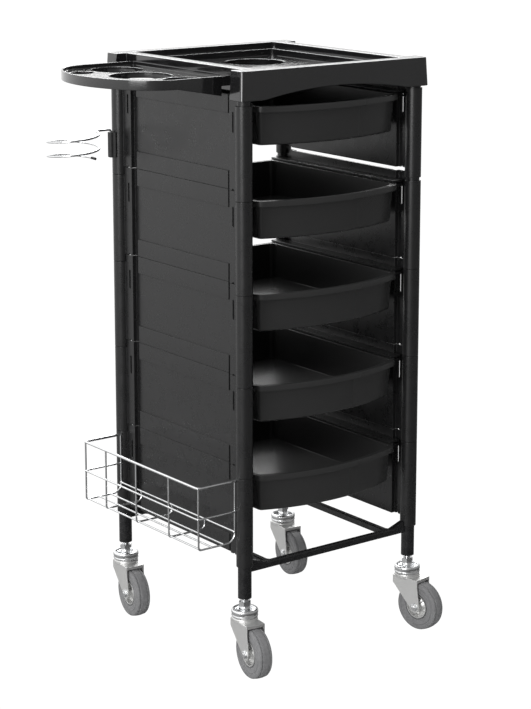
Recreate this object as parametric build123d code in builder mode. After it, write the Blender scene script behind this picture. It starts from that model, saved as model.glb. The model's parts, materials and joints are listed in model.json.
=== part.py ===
from build123d import *

import os
from math import cos, radians, sin, sqrt

# A rolling salon trolley: four steel tubes on castors, moulded side modules
# threaded over the tubes, five sliding trays, a moulded top with a lift-out
# tray, a side shelf, a wire basket and a dryer holder.
# Millimetres. X runs to the right along the front, Y to the back, Z up from the floor.

# --- driving sizes ---------------------------------------------------------
leg_spacing_x = 312.0
leg_spacing_y = 314.0
overall_height = 880.0
leg_foot_z = 113.0
leg_radius = 10.0
leg_wall = 1.2

module_count = 5
module_height = 134.0
module_bottom_z = 173.0
right_top_play = 4.5

wheel_radius = 37.5
wheel_width = 22.0
castor_trail = 27.0
castor_turn = {"front_left": -7.0, "front_right": 10.0, "back_left": -7.0, "back_right": -7.0}

# --- clearances ------------------------------------------------------------
body_gap = 0.3       # between pieces that move apart
slip_gap = 0.1       # a sleeve on its tube
running_gap = 0.05   # a shaft in its hole
seam_gap = 0.4       # the visible line between two stacked modules

# --- side modules ----------------------------------------------------------
sleeve_radius = 12.2
sleeve_drop = 12.0
flange_thickness = 3.0
flange_length = 31.0
panel_inset = 5.0
panel_thickness = 2.5
band_height = 26.0
band_proud = 2.5
band_start = 41.0
slot_width = 3.5
slot_height = 29.0
slot_inset = 24.0
slot_below_top = 23.0
notch_radius = 2.2
rail_reach = 19.5
rail_thickness = 3.0
rail_stop_height = 6.0
rail_setback = 2.0

# --- sliding trays ---------------------------------------------------------
tray_drop = 16.0
tray_height = 56.0
tray_wall = 2.4
tray_half_width = 126.0
tray_flange_half_width = 136.0
tray_flange_thickness = 3.0
tray_lip_height = 8.5
tray_lip_reach = 5.0
tray_corner_y = -150.0
tray_front_y = -177.0
tray_back_y = 146.0
tray_corner_radius = 12.0
tray_draft = 4.0
tray_foot_radius = 4.0
tray_band_return = 6.0

# --- top frame and lift-out tray -------------------------------------------
apron_height = 42.0
apron_arch = 12.0
apron_overhang = 14.0
apron_flare = 2.0
socket_radius = 13.2
socket_cap = 3.0
top_wall = 3.0
top_side_inset = 5.0
top_rim_width = 19.0
top_corner_radius = 5.0
ledge_depth = 11.5
ledge_width = 12.0
ledge_thickness = 2.5
insert_flange = 2.5
insert_depth = 19.0
insert_wall = 2.4
cup_radius = 45.0
cup_depth = 13.0
cup_x = 35.0
cup_y = 72.0

# --- side shelf ------------------------------------------------------------
shelf_drop = 10.0
shelf_rim_height = 14.0
shelf_recess = 5.5
shelf_floor = 2.5
shelf_rim_width = 3.0
shelf_half_width = 124.0
shelf_straight = 74.0
shelf_nose = 80.0
shelf_skirt_depth = 28.0
shelf_holes = {
    "bowl": (58.0, -8.0, 45.0),
    "bottle": (42.0, 78.5, 38.0),
    "can": (36.0, -85.0, 30.0),
    "comb": (106.0, 72.0, 17.0),
}
comb_slot_width = 9.0
shelf_collar = 2.5

# --- base frame ------------------------------------------------------------
bar_height = 10.0
bar_depth = 9.0
bar_centre_z = 156.0
bar_weld = 0.6          # how far a bar reaches into the curve of its leg
bar_edge = 1.5
bar_gusset_length = 22.0
bar_gusset_rise = 8.0
long_bar_inset = 42.0
long_bar_gusset = 23.4

# --- wire basket -----------------------------------------------------------
rail_wire = 2.0
mesh_wire = 1.4
basket_depth = 68.0
basket_end_inset = 7.0
basket_hold = 1.2
basket_top_z = 290.0
basket_height = 92.0
basket_corner = 14.0
basket_rail_corner = 6.0
basket_lap = 0.9          # how far crossing wires sit off one another's axes
basket_bays = (-1.0, -0.5, 0.07, 0.62, 1.0)
basket_floor_rows = (0.07, 0.36, 0.68)
basket_setback = 3.0

# --- dryer holder ----------------------------------------------------------
clip_wall = 3.2
clip_height = 38.0
clip_centre_z = 742.0
coil_radius = 38.5
coil_wire = 1.6
coil_pitch = 21.0
coil_turns = 2.0
coil_offset = 83.0
clip_arc = (20.0, 212.0)
stem_out = 16.4
stem_depth = 24.0
stem_rise = 4.0

# --- castor details --------------------------------------------------------
fork_sheet = 2.2
fork_inner = 13.2
crown_z = 78.6
crown_radius = 19.0
dome_height = 4.4
race_radius = 19.6
race_height = 8.0
race_collar_radius = 9.0
race_collar_height = 15.0
stem_radius = 5.0
stem_head_radius = 8.0
stem_head_height = 3.6
stem_top_z = 150.0
insert_length = 34.0
nut_flats = 16.0
nut_height = 8.0
axle_radius = 4.0
axle_boss_radius = 9.5
axle_head_height = 3.5
axle_head_flats = 10.0
hub_radius = 19.0
hub_rim = 2.5
hub_web = 2.0
hub_setback = 1.0
hub_boss_radius = 7.5
tyre_edge = 5.0
fork_back = 16.0
fork_front = 32.0
fork_lip = 5.0
cheek_drop = 12.0
race_rim = 4.5
race_collar_taper = 6.0
ball_count = 12
ball_radius = 1.8
ball_ring_radius = 13.5

# --- places worked out from the sizes --------------------------------------
leg_x = leg_spacing_x / 2
leg_y = leg_spacing_y / 2
corners = {
    "front_left": (-leg_x, -leg_y),
    "front_right": (leg_x, -leg_y),
    "back_left": (-leg_x, leg_y),
    "back_right": (leg_x, leg_y),
}
module_top_z = module_bottom_z + module_count * module_height
apron_z = overall_height - apron_height
panel_face_x = leg_x - panel_inset
axle_z = wheel_radius
race_z = crown_z + fork_sheet + dome_height + body_gap
nut_z = race_z + race_collar_height
shelf_root_x = -(leg_x + socket_radius + body_gap)
shelf_top_z = overall_height - shelf_drop
basket_half_length = leg_y - basket_end_inset
basket_near_x = -(leg_x + sqrt(sleeve_radius**2 - basket_end_inset**2) - basket_hold)
basket_middle_z = basket_top_z - basket_height / 2


def tray_top(level):
    """Height of a tray's rim, counted from the lowest module."""
    return module_bottom_z + (level + 1) * module_height - tray_drop


# --- legs ------------------------------------------------------------------
def leg(place):
    """A steel tube from the castor up into the top frame's socket."""
    with BuildPart() as tube:
        with BuildSketch(Plane.XY.offset(leg_foot_z)):
            with Locations(place):
                Circle(leg_radius)
                Circle(leg_radius - leg_wall, mode=Mode.SUBTRACT)
        extrude(amount=overall_height - socket_cap - 1 - leg_foot_z)
    return tube


def leg_inserts():
    """Four bored plugs pressed into the tubes' feet for the castor stems."""
    with BuildPart() as plugs:
        with BuildSketch(Plane.XY.offset(leg_foot_z)):
            with Locations(*corners.values()):
                Circle(leg_radius - leg_wall)
                Circle(stem_radius + running_gap, mode=Mode.SUBTRACT)
        extrude(amount=insert_length)
    return plugs


# --- side modules ----------------------------------------------------------
def side_module(level, lift=0.0):
    """One left-hand side module: two sleeves, flanges, a banded panel and the tray's rails."""
    base = module_bottom_z + level * module_height + lift
    height = module_height - seam_gap
    step_width = panel_inset + panel_thickness + flange_thickness / 2
    rail_x = -panel_face_x + panel_thickness + rail_reach / 2
    rail_front = leg_y - sleeve_radius - rail_setback
    rail_z = tray_top(level) - tray_flange_thickness - body_gap - rail_thickness
    rail_back = tray_back_y + tray_lip_reach + body_gap
    rib_z = tray_top(level) + body_gap
    with BuildPart() as module:
        with BuildSketch(Plane.XY.offset(base - sleeve_drop)):
            with Locations((-leg_x, -leg_y), (-leg_x, leg_y)):
                Circle(sleeve_radius)
        extrude(amount=height)
        with BuildSketch(Plane.XY.offset(base)):
            for side in (-1, 1):
                with Locations((-leg_x, side * (leg_y - flange_length / 2))):
                    Rectangle(flange_thickness, flange_length)
                with Locations((step_width / 2 - leg_x - flange_thickness / 2, side * (leg_y - flange_length))):
                    Rectangle(step_width, panel_thickness)
            with Locations((-panel_face_x + panel_thickness / 2, 0)):
                Rectangle(panel_thickness, leg_spacing_y - 2 * flange_length)
        extrude(amount=height)
        with BuildSketch(Plane.XZ.offset(leg_y - band_start)):
            for edge in (base, base + height - band_height):
                with Locations((-panel_face_x - band_proud / 2, edge + band_height / 2)):
                    Rectangle(band_proud, band_height)
        extrude(amount=-(leg_spacing_y - 2 * band_start))
        with BuildSketch(Plane.XZ.offset(rail_front)):
            for height_z in (rail_z, rib_z):
                with Locations((rail_x, height_z + rail_thickness / 2)):
                    Rectangle(rail_reach, rail_thickness)
        extrude(amount=-(rail_front + rail_back + rail_thickness))
        with BuildSketch(Plane.XZ.offset(-rail_back)):
            with Locations((rail_x, rail_z + rail_stop_height / 2)):
                Rectangle(rail_reach, rail_stop_height)
        extrude(amount=-rail_thickness)
        with BuildSketch(Plane.XY.offset(base - sleeve_drop + height)):
            with Locations((-leg_x, -leg_y), (-leg_x, leg_y)):
                Circle(socket_radius + seam_gap)
        extrude(amount=sleeve_drop, mode=Mode.SUBTRACT)
        with BuildSketch(Plane.XY.offset(base - sleeve_drop)):
            with Locations((-leg_x, -leg_y), (-leg_x, leg_y)):
                Circle(leg_radius + slip_gap)
        extrude(amount=height, mode=Mode.SUBTRACT)
        with BuildSketch(Plane.YZ.offset(-leg_x - flange_thickness)):
            for side in (-1, 1):
                with Locations((side * (leg_y - slot_inset), base + height - slot_below_top - slot_height / 2)):
                    SlotOverall(slot_height, slot_width, rotation=90)
                with Locations((side * (leg_y - slot_inset), base)):
                    Circle(notch_radius)
        extrude(amount=2 * flange_thickness, mode=Mode.SUBTRACT)
    return module


def basket_side(module):
    """The lowest left-hand module, with four blind holes for the basket's wire ends."""
    with BuildPart() as drilled:
        add(module.part)
        for height_z, radius in ((basket_top_z, rail_wire), (basket_middle_z, mesh_wire)):
            with BuildSketch(Plane.YZ.offset(basket_near_x + slip_gap)):
                with Locations((-basket_half_length, height_z), (basket_half_length, height_z)):
                    Circle(radius + slip_gap)
            extrude(amount=-sleeve_radius, mode=Mode.SUBTRACT)
    return drilled


def mirrored(piece):
    """The same piece for the right-hand side."""
    with BuildPart() as other:
        add(piece.part.mirror(Plane.YZ))
    return other


# --- base frame ------------------------------------------------------------
def cross_bar(side):
    """The bar between two legs at the front (side -1) or back (side 1), with gusseted ends."""
    reach = leg_x - leg_radius + bar_weld
    step = leg_x - sleeve_radius - body_gap
    low = bar_centre_z - bar_height / 2
    high = bar_centre_z + bar_height / 2
    sleeve_foot = module_bottom_z - sleeve_drop - body_gap
    with BuildPart() as bar:
        with BuildSketch(Plane.XZ.offset(-side * leg_y + bar_depth / 2)):
            with BuildLine():
                Polyline(
                    (0, low),
                    (reach, low),
                    (reach, sleeve_foot),
                    (step, sleeve_foot),
                    (step, high + bar_gusset_rise),
                    (step - bar_gusset_length, high),
                    (0, high),
                    close=True,
                )
            make_face()
            mirror(about=Plane.YZ)
        extrude(amount=-bar_depth)
        for x, y in corners.values():
            with BuildSketch(Plane.XY.offset(low)):
                with Locations((x, y)):
                    Circle(leg_radius)
            extrude(amount=bar_height + bar_gusset_rise, mode=Mode.SUBTRACT)
        fillet(bar.edges().filter_by(Axis.X), radius=bar_edge)
    return bar


def long_bar(side):
    """The bar that joins the front and back bars, left (side -1) or right (side 1)."""
    half = leg_y - bar_depth / 2
    centre = side * (leg_x - long_bar_inset)
    narrow = bar_depth / 2 - bar_weld
    wide = long_bar_gusset / 2
    with BuildPart() as bar:
        with BuildSketch(Plane.XZ.offset(half)):
            with Locations((centre, bar_centre_z)):
                RectangleRounded(bar_depth, bar_height, bar_edge)
        extrude(amount=-2 * half)
        for end in (-1, 1):
            with BuildSketch(Plane.XY.offset(bar_centre_z - bar_height / 2 + bar_edge)):
                with BuildLine():
                    Polyline(
                        (centre - wide, end * half),
                        (centre + wide, end * half),
                        (centre + narrow, end * (half - bar_depth)),
                        (centre - narrow, end * (half - bar_depth)),
                        close=True,
                    )
                make_face()
            extrude(amount=bar_height - 2 * bar_edge)
    return bar


# --- top frame -------------------------------------------------------------
def top_outline(grow):
    """Corner points of the top frame's plan, with the sides set in between the corner sockets."""
    block_x = leg_x + socket_radius + grow
    block_y = leg_y - socket_radius
    side_x = panel_face_x
    front_y = leg_y + apron_overhang + grow
    quarter = [(side_x, 0), (side_x, block_y), (block_x, block_y), (block_x, front_y)]
    right = [(x, -y) for x, y in reversed(quarter[1:])] + quarter[1:]
    left = [(-x, -y) for x, y in right]
    return right + left


def top_frame():
    """The moulded top: rim, apron with an arched front, corner sockets and an inner ledge."""
    ledge_z = overall_height - ledge_depth
    side_foot_z = module_top_z + right_top_play + body_gap
    socket_side_y = leg_y - socket_radius
    mouth_x = panel_face_x - top_rim_width
    mouth_y = leg_y + apron_overhang - top_rim_width
    with BuildPart() as frame:
        for height, grow in ((apron_z, apron_flare), (overall_height, 0)):
            with BuildSketch(Plane.XY.offset(height)) as outline:
                with BuildLine():
                    Polyline(*top_outline(grow), close=True)
                make_face()
                ends = outline.vertices().group_by(Axis.Y)
                fillet(ends[0] + ends[-1], radius=top_corner_radius)
        loft(ruled=True)
        with BuildSketch(Plane.XY.offset(apron_z)):
            with BuildLine():
                Polyline(*top_outline(0), close=True)
            make_face()
            offset(amount=-top_wall, kind=Kind.INTERSECTION)
            with Locations(*corners.values()):
                Circle(socket_radius, mode=Mode.SUBTRACT)
            Rectangle(2 * mouth_x + 2 * top_wall, 2 * mouth_y + 2 * top_wall, mode=Mode.SUBTRACT)
        extrude(amount=apron_height - top_wall, mode=Mode.SUBTRACT)
        with BuildSketch(Plane.XY.offset(apron_z)):
            Rectangle(2 * mouth_x + 2 * top_wall, 2 * mouth_y + 2 * top_wall)
        extrude(amount=apron_height - ledge_depth - ledge_thickness, mode=Mode.SUBTRACT)
        with BuildSketch(Plane.XY.offset(overall_height)):
            RectangleRounded(2 * mouth_x, 2 * mouth_y, top_corner_radius)
        extrude(amount=-ledge_depth, mode=Mode.SUBTRACT)
        with BuildSketch(Plane.XY.offset(ledge_z)):
            RectangleRounded(2 * (mouth_x - ledge_width), 2 * (mouth_y - ledge_width), top_corner_radius)
        extrude(amount=-2 * ledge_thickness, mode=Mode.SUBTRACT)
        with BuildSketch(Plane.XY.offset(apron_z)):
            with Locations(*corners.values()):
                Circle(leg_radius + slip_gap)
        extrude(amount=apron_height - socket_cap, mode=Mode.SUBTRACT)
        with BuildSketch(Plane.XY.offset(apron_z)):
            Rectangle(3 * leg_spacing_x, 2 * socket_side_y)
        extrude(amount=side_foot_z - apron_z, mode=Mode.SUBTRACT)
        with BuildSketch(Plane.XZ.offset(leg_y + apron_overhang + 2 * apron_flare)):
            with BuildLine():
                ThreePointArc(
                    (-leg_x + 2 * socket_radius, apron_z),
                    (0, apron_z + apron_arch),
                    (leg_x - 2 * socket_radius, apron_z),
                )
                Line((leg_x - 2 * socket_radius, apron_z), (-leg_x + 2 * socket_radius, apron_z))
            make_face()
        extrude(amount=-2 * (leg_y + apron_overhang + 2 * apron_flare), mode=Mode.SUBTRACT)
    return frame


def top_tray():
    """The lift-out tray in the top, with a round cup recess."""
    mouth_x = panel_face_x - top_rim_width - body_gap
    mouth_y = leg_y + apron_overhang - top_rim_width - body_gap
    drop_x = mouth_x - ledge_width - body_gap
    drop_y = mouth_y - ledge_width - body_gap
    flange_z = overall_height - ledge_depth + body_gap
    floor_z = overall_height - insert_depth
    corner = top_corner_radius + 1
    with BuildPart() as tray:
        with BuildSketch(Plane.XY.offset(flange_z)):
            RectangleRounded(2 * mouth_x, 2 * mouth_y, corner)
        extrude(amount=insert_flange)
        with BuildSketch(Plane.XY.offset(floor_z - insert_wall)):
            RectangleRounded(2 * drop_x, 2 * drop_y, corner)
        extrude(amount=flange_z - floor_z + insert_wall)
        with BuildSketch(Plane.XY.offset(floor_z - cup_depth)):
            with Locations((cup_x, cup_y)):
                Circle(cup_radius + insert_wall)
        extrude(amount=cup_depth)
        with BuildSketch(Plane.XY.offset(floor_z)):
            RectangleRounded(2 * (drop_x - insert_wall), 2 * (drop_y - insert_wall), corner - 2)
        extrude(amount=insert_depth, mode=Mode.SUBTRACT)
        with BuildSketch(Plane.XY.offset(floor_z - cup_depth + insert_wall)):
            with Locations((cup_x, cup_y)):
                Circle(cup_radius)
        extrude(amount=cup_depth, mode=Mode.SUBTRACT)
    return tray


# --- side shelf ------------------------------------------------------------
def shelf_outline(inset):
    """Edges of the shelf's D-shaped plan: two straight sides and an elliptical nose."""
    half = shelf_half_width - inset
    turn_x = shelf_root_x - shelf_straight
    inner_x = -(panel_face_x + body_gap + inset)
    with BuildLine() as line:
        Line((inner_x, -half), (turn_x, -half))
        EllipticalCenterArc((turn_x, 0), shelf_nose - inset, half, start_angle=90, arc_size=180)
        Line((turn_x, half), (inner_x, half))
        Line((inner_x, half), (inner_x, -half))
    return line.edges()


def side_shelf():
    """The lift-off side shelf: a rimmed floor with four collared holes and two root brackets."""
    rim_low = shelf_top_z - shelf_rim_height
    floor_low = shelf_top_z - shelf_recess - shelf_floor
    turn_x = shelf_root_x - shelf_straight
    with BuildPart() as shelf:
        with BuildSketch(Plane.XY.offset(rim_low)):
            make_face(shelf_outline(0))
        extrude(amount=shelf_rim_height)
        with BuildSketch(Plane.XY.offset(shelf_top_z)):
            make_face(shelf_outline(shelf_rim_width))
        extrude(amount=-shelf_recess, mode=Mode.SUBTRACT)
        with BuildSketch(Plane.XY.offset(rim_low)):
            make_face(shelf_outline(shelf_rim_width))
            for out, along, radius in shelf_holes.values():
                with Locations((shelf_root_x - out, along)):
                    Circle(radius + shelf_collar, mode=Mode.SUBTRACT)
        extrude(amount=floor_low - rim_low, mode=Mode.SUBTRACT)
        with BuildSketch(Plane.XZ.offset(shelf_half_width)):
            with BuildLine():
                Polyline(
                    (shelf_root_x, rim_low),
                    (turn_x, rim_low),
                    (shelf_root_x, shelf_top_z - shelf_skirt_depth),
                    close=True,
                )
            make_face()
        extrude(amount=-shelf_rim_width)
        with BuildSketch(Plane.XZ.offset(-shelf_half_width)):
            with BuildLine():
                Polyline(
                    (shelf_root_x, rim_low),
                    (turn_x, rim_low),
                    (shelf_root_x, shelf_top_z - shelf_skirt_depth),
                    close=True,
                )
            make_face()
        extrude(amount=shelf_rim_width)
        comb_out, comb_along, comb_radius = shelf_holes["comb"]
        with BuildSketch(Plane.XY.offset(rim_low)):
            for out, along, radius in shelf_holes.values():
                with Locations((shelf_root_x - out, along)):
                    Circle(radius)
            with Locations((shelf_root_x - comb_out + comb_radius, comb_along)):
                Rectangle(comb_slot_width, comb_slot_width)
        extrude(amount=shelf_rim_height, mode=Mode.SUBTRACT)
    return shelf


# --- sliding trays ---------------------------------------------------------
def tray_plan(grow):
    """Edges of a tray's plan: straight back and sides, and a bowed front."""
    side = tray_half_width + grow
    back = tray_back_y + min(grow, 0)
    with BuildLine() as line:
        ThreePointArc((-side, tray_corner_y - grow), (0, tray_front_y - grow), (side, tray_corner_y - grow))
        Polyline((side, tray_corner_y - grow), (side, back), (-side, back), (-side, tray_corner_y - grow))
    return line.edges()


def sliding_tray(level):
    """A bow-fronted tray: tapered shell, front band and two side flanges that run on the rails."""
    rim = tray_top(level)
    flange = tray_flange_half_width - tray_half_width + tray_wall / 2
    band_back = tray_corner_y + tray_band_return
    lip_back = tray_back_y + tray_lip_reach
    with BuildPart() as tray:
        with BuildSketch(Plane.XY.offset(rim)) as outline:
            make_face(tray_plan(0))
            fillet(outline.vertices(), radius=tray_corner_radius)
        extrude(amount=-tray_height, taper=tray_draft)
        fillet(tray.faces().sort_by(Axis.Z)[0].edges(), radius=tray_foot_radius)
        with BuildSketch(Plane.XY.offset(rim - tray_lip_height)) as band:
            make_face(tray_plan(tray_lip_reach))
            fillet(band.vertices().group_by(Axis.Y)[0], radius=tray_corner_radius + tray_lip_reach)
            with Locations((0, band_back + tray_half_width + tray_back_y)):
                Rectangle(3 * tray_half_width, 2 * (tray_half_width + tray_back_y), mode=Mode.SUBTRACT)
        extrude(amount=tray_lip_height)
        with BuildSketch(Plane.XY.offset(rim - tray_flange_thickness)):
            for side in (-1, 1):
                with Locations((side * (tray_flange_half_width - flange / 2), (band_back + lip_back) / 2)):
                    Rectangle(flange, lip_back - band_back)
            with Locations((0, lip_back - tray_lip_reach)):
                Rectangle(2 * tray_half_width, 2 * tray_lip_reach)
        extrude(amount=tray_flange_thickness)
        with BuildSketch(Plane.XY.offset(rim)) as hollow:
            make_face(tray_plan(-tray_wall))
            fillet(hollow.vertices(), radius=tray_corner_radius - tray_wall)
        extrude(amount=tray_wall - tray_height, taper=tray_draft, mode=Mode.SUBTRACT)
    return tray


# --- wire basket -----------------------------------------------------------
def basket_rods():
    """The basket's wires as (points, corner radius, wire radius): rails, hoops and straight rows."""
    far = basket_near_x - basket_depth
    wall = basket_near_x - basket_setback
    low = basket_top_z - basket_height
    half = basket_half_length
    wall_row_z = low + basket_corner + 2 * basket_lap
    rods = []
    for height_z, radius in ((basket_top_z, rail_wire), (basket_middle_z, mesh_wire)):
        ends = [(basket_near_x, -half, height_z), (far, -half, height_z)]
        route = ends + [(x, -y, z) for x, y, z in reversed(ends)]
        rods.append((route, basket_rail_corner, radius))
    for bay in basket_bays:
        top = basket_top_z + basket_lap / 2
        rise = top if abs(bay) == 1 else wall_row_z + mesh_wire
        hoop = [(far + basket_lap, top), (far + basket_lap, low), (wall, low), (wall, rise)]
        rods.append(([(x, bay * (half - basket_lap), z) for x, z in hoop], basket_corner, mesh_wire))
    for share in basket_floor_rows:
        run = share * (wall - far)
        inside = max(basket_corner + basket_lap - run, 0)
        rise = low + basket_corner - sqrt(basket_corner**2 - inside**2) + basket_lap
        rods.append(([(far + run, -half, rise), (far + run, half, rise)], 0, mesh_wire))
    row_x = wall - basket_lap
    rods.append(([(row_x, -half, wall_row_z), (row_x, half, wall_row_z)], 0, mesh_wire))
    return rods


def wire_rod(points, corner_radius, wire_radius):
    """One round wire through the points, with its corners bent to a radius."""
    with BuildPart() as rod:
        with BuildLine() as route:
            if corner_radius:
                FilletPolyline(*points, radius=corner_radius)
            else:
                Line(*points)
        with BuildSketch(Plane(origin=route.line @ 0, z_dir=route.line % 0)):
            Circle(wire_radius)
        sweep()
    return rod


def wire_basket():
    """The welded wire basket that hangs low on the left-hand side."""
    rods = [wire_rod(*rod).part for rod in basket_rods()]
    with BuildPart() as basket:
        for rod in rods:
            add(rod)
    return basket


# --- dryer holder ----------------------------------------------------------
def clip_mouth(radius):
    """Edges of the slice, from the post's axis outwards, that opens the clip."""
    start, end = clip_arc[1], clip_arc[0] + 360
    first = (radius * cos(radians(start)), radius * sin(radians(start)))
    last = (radius * cos(radians(end)), radius * sin(radians(end)))
    with BuildLine() as line:
        Line((0, 0), first)
        CenterArc((0, 0), radius, start, end - start)
        Line(last, (0, 0))
    return line.edges()


def dryer_clip():
    """The snap clip round the back-left post, with a bored rib that holds the coil's stem."""
    foot = Plane(origin=(-leg_x, leg_y, clip_centre_z - clip_height / 2))
    with BuildPart() as clip:
        with BuildSketch(foot):
            Circle(sleeve_radius + body_gap + clip_wall)
            with Locations((-stem_out, 0)):
                RectangleRounded(2 * clip_wall, 3 * clip_wall, clip_wall / 2)
            Circle(sleeve_radius + body_gap, mode=Mode.SUBTRACT)
            make_face(clip_mouth(3 * sleeve_radius), mode=Mode.SUBTRACT)
        extrude(amount=clip_height)
        with BuildSketch(foot.offset(clip_height)):
            with Locations((-stem_out, 0)):
                Circle(coil_wire + running_gap)
        extrude(amount=-stem_depth, mode=Mode.SUBTRACT)
    return clip


def dryer_ring():
    """The chrome coil that holds the dryer, with its stem let down into the clip."""
    top = clip_centre_z + clip_height / 2 + stem_rise
    foot = top - coil_pitch * coil_turns
    coil_x = -leg_x - coil_offset
    start_x = coil_x + coil_radius
    stem_x = -leg_x - stem_out
    stem_foot = clip_centre_z + clip_height / 2 - stem_depth + body_gap
    with BuildPart() as ring:
        with BuildLine():
            Helix(coil_pitch, coil_pitch * coil_turns, coil_radius, center=(coil_x, leg_y, foot))
        with BuildSketch(Plane(origin=(start_x, leg_y, foot), z_dir=(0, 1, 0))):
            Circle(coil_wire)
        sweep(is_frenet=True)
        with BuildLine() as stem:
            FilletPolyline(
                (start_x - coil_wire / 2, leg_y, top),
                (stem_x, leg_y, top),
                (stem_x, leg_y, stem_foot),
                radius=2 * coil_wire,
            )
        with BuildSketch(Plane(origin=stem.line @ 0, z_dir=stem.line % 0)):
            Circle(coil_wire)
        sweep()
    return ring


# --- castors, drawn round a swivel axis at the origin and trailing to -Y ----
def castor_tyre():
    """The rubber tyre with rounded shoulders."""
    with BuildPart() as tyre:
        with BuildSketch(Plane.YZ.offset(-wheel_width / 2)):
            with Locations((-castor_trail, axle_z)):
                Circle(wheel_radius)
                Circle(hub_radius, mode=Mode.SUBTRACT)
        extrude(amount=wheel_width)
        fillet(tyre.edges().filter_by(GeomType.CIRCLE).group_by(SortBy.RADIUS)[-1], radius=tyre_edge)
    return tyre


def castor_hub():
    """The pressed hub: rim, thin web and a central boss bored for the axle."""
    boss = fork_inner - body_gap
    rim = wheel_width / 2 - hub_setback
    with BuildPart() as hub:
        for half, outer, inner in ((rim, hub_radius, hub_radius - hub_rim), (hub_web, hub_radius - 1, 0)):
            with BuildSketch(Plane.YZ.offset(-half)):
                with Locations((-castor_trail, axle_z)):
                    Circle(outer)
                    if inner:
                        Circle(inner, mode=Mode.SUBTRACT)
            extrude(amount=2 * half)
        with BuildSketch(Plane.YZ.offset(-boss)):
            with Locations((-castor_trail, axle_z)):
                Circle(hub_boss_radius)
        extrude(amount=2 * boss)
        with BuildSketch(Plane.YZ.offset(-boss)):
            with Locations((-castor_trail, axle_z)):
                Circle(axle_radius + running_gap)
        extrude(amount=2 * boss, mode=Mode.SUBTRACT)
    return hub


def castor_axle():
    """The axle bolt with its hexagon head and nut."""
    end = fork_inner + fork_sheet
    with BuildPart() as axle:
        with BuildSketch(Plane.YZ.offset(-end)):
            with Locations((-castor_trail, axle_z)):
                Circle(axle_radius)
        extrude(amount=2 * end)
        for start in (-end - axle_head_height, end):
            with BuildSketch(Plane.YZ.offset(start)):
                with Locations((-castor_trail, axle_z)):
                    RegularPolygon(axle_head_flats / 2, 6, major_radius=False)
            extrude(amount=axle_head_height)
    return axle


def castor_fork():
    """The stamped fork: two tapering cheeks, a crown with a front lip, and the lower ball track."""
    crown_top = crown_z + fork_sheet
    dome_top = crown_top + dome_height
    half = fork_inner + fork_sheet
    with BuildPart() as fork:
        for x in (-half, fork_inner):
            with BuildSketch(Plane.YZ.offset(x)):
                with BuildLine():
                    Polyline(
                        (fork_back, crown_top),
                        (fork_back, crown_top - cheek_drop),
                        (-castor_trail + axle_boss_radius, axle_z - 2),
                        (-castor_trail, axle_z - axle_boss_radius),
                        (-castor_trail - axle_boss_radius, axle_z),
                        (-fork_front, crown_top - cheek_drop),
                        (-fork_front, crown_top),
                        close=True,
                    )
                make_face()
                with Locations((-castor_trail, axle_z)):
                    Circle(axle_boss_radius)
                    Circle(axle_radius, mode=Mode.SUBTRACT)
            extrude(amount=fork_sheet)
        with BuildSketch(Plane.XY.offset(crown_z)):
            with Locations((0, (fork_back - fork_front) / 2)):
                Rectangle(2 * half, fork_back + fork_front)
            Circle(crown_radius)
        extrude(amount=fork_sheet)
        with BuildSketch(Plane.XZ.offset(fork_front - fork_sheet)):
            with Locations((0, crown_top - fork_lip / 2)):
                Rectangle(2 * half, fork_lip)
        extrude(amount=fork_sheet)
        with BuildSketch(Plane.XY.offset(crown_top)):
            Circle(crown_radius)
        extrude(amount=dome_height)
        fillet(fork.faces().sort_by(Axis.Z)[-1].edges(), radius=dome_height / 2)
        with BuildSketch(Plane.XZ):
            with Locations((ball_ring_radius, dome_top + body_gap / 2)):
                Circle(ball_radius + running_gap)
        revolve(axis=Axis.Z, mode=Mode.SUBTRACT)
        with BuildSketch(Plane.XY.offset(crown_z)):
            Circle(stem_radius + running_gap)
        extrude(amount=fork_sheet + dome_height, mode=Mode.SUBTRACT)
    return fork


def castor_balls():
    """The ring of balls between the fork and the race."""
    with BuildPart() as balls:
        with Locations((0, 0, race_z - body_gap / 2)):
            with PolarLocations(ball_ring_radius, ball_count):
                Sphere(ball_radius)
    return balls


def castor_race():
    """The upper race: a flanged cup with a collar that the nut clamps."""
    with BuildPart() as race:
        with BuildSketch(Plane.XY.offset(race_z)):
            Circle(race_radius)
        extrude(amount=race_height)
        fillet(race.edges().filter_by(GeomType.CIRCLE), radius=race_height / 2.7)
        with BuildSketch(Plane.XY.offset(race_z + race_height)):
            Circle(race_radius - race_rim)
            Circle(race_collar_radius, mode=Mode.SUBTRACT)
        extrude(amount=-race_height / 2, mode=Mode.SUBTRACT)
        with BuildSketch(Plane.XY.offset(race_z)):
            Circle(race_collar_radius)
        extrude(amount=race_collar_height, taper=race_collar_taper)
        with BuildSketch(Plane.XZ):
            with Locations((ball_ring_radius, race_z - body_gap / 2)):
                Circle(ball_radius + 2 * running_gap)
        revolve(axis=Axis.Z, mode=Mode.SUBTRACT)
        with BuildSketch(Plane.XY.offset(race_z)):
            Circle(stem_radius + running_gap)
        extrude(amount=race_collar_height, mode=Mode.SUBTRACT)
    return race


def castor_stem():
    """The threaded stem with its riveted head under the fork's crown."""
    with BuildPart() as stem:
        with BuildSketch(Plane.XY.offset(crown_z - body_gap - stem_head_height)):
            Circle(stem_head_radius)
        extrude(amount=stem_head_height)
        with BuildSketch(Plane.XY.offset(crown_z - body_gap)):
            Circle(stem_radius)
        extrude(amount=stem_top_z - crown_z)
    return stem


def castor_nuts():
    """The four hexagon nuts that lock the stems under the legs."""
    with BuildPart() as nuts:
        with BuildSketch(Plane.XY.offset(nut_z)):
            for x, y in corners.values():
                with Locations((x, y)):
                    RegularPolygon(nut_flats / 2, 6, major_radius=False, rotation=15)
                    Circle(stem_radius + running_gap, mode=Mode.SUBTRACT)
        extrude(amount=nut_height)
    return nuts


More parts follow.
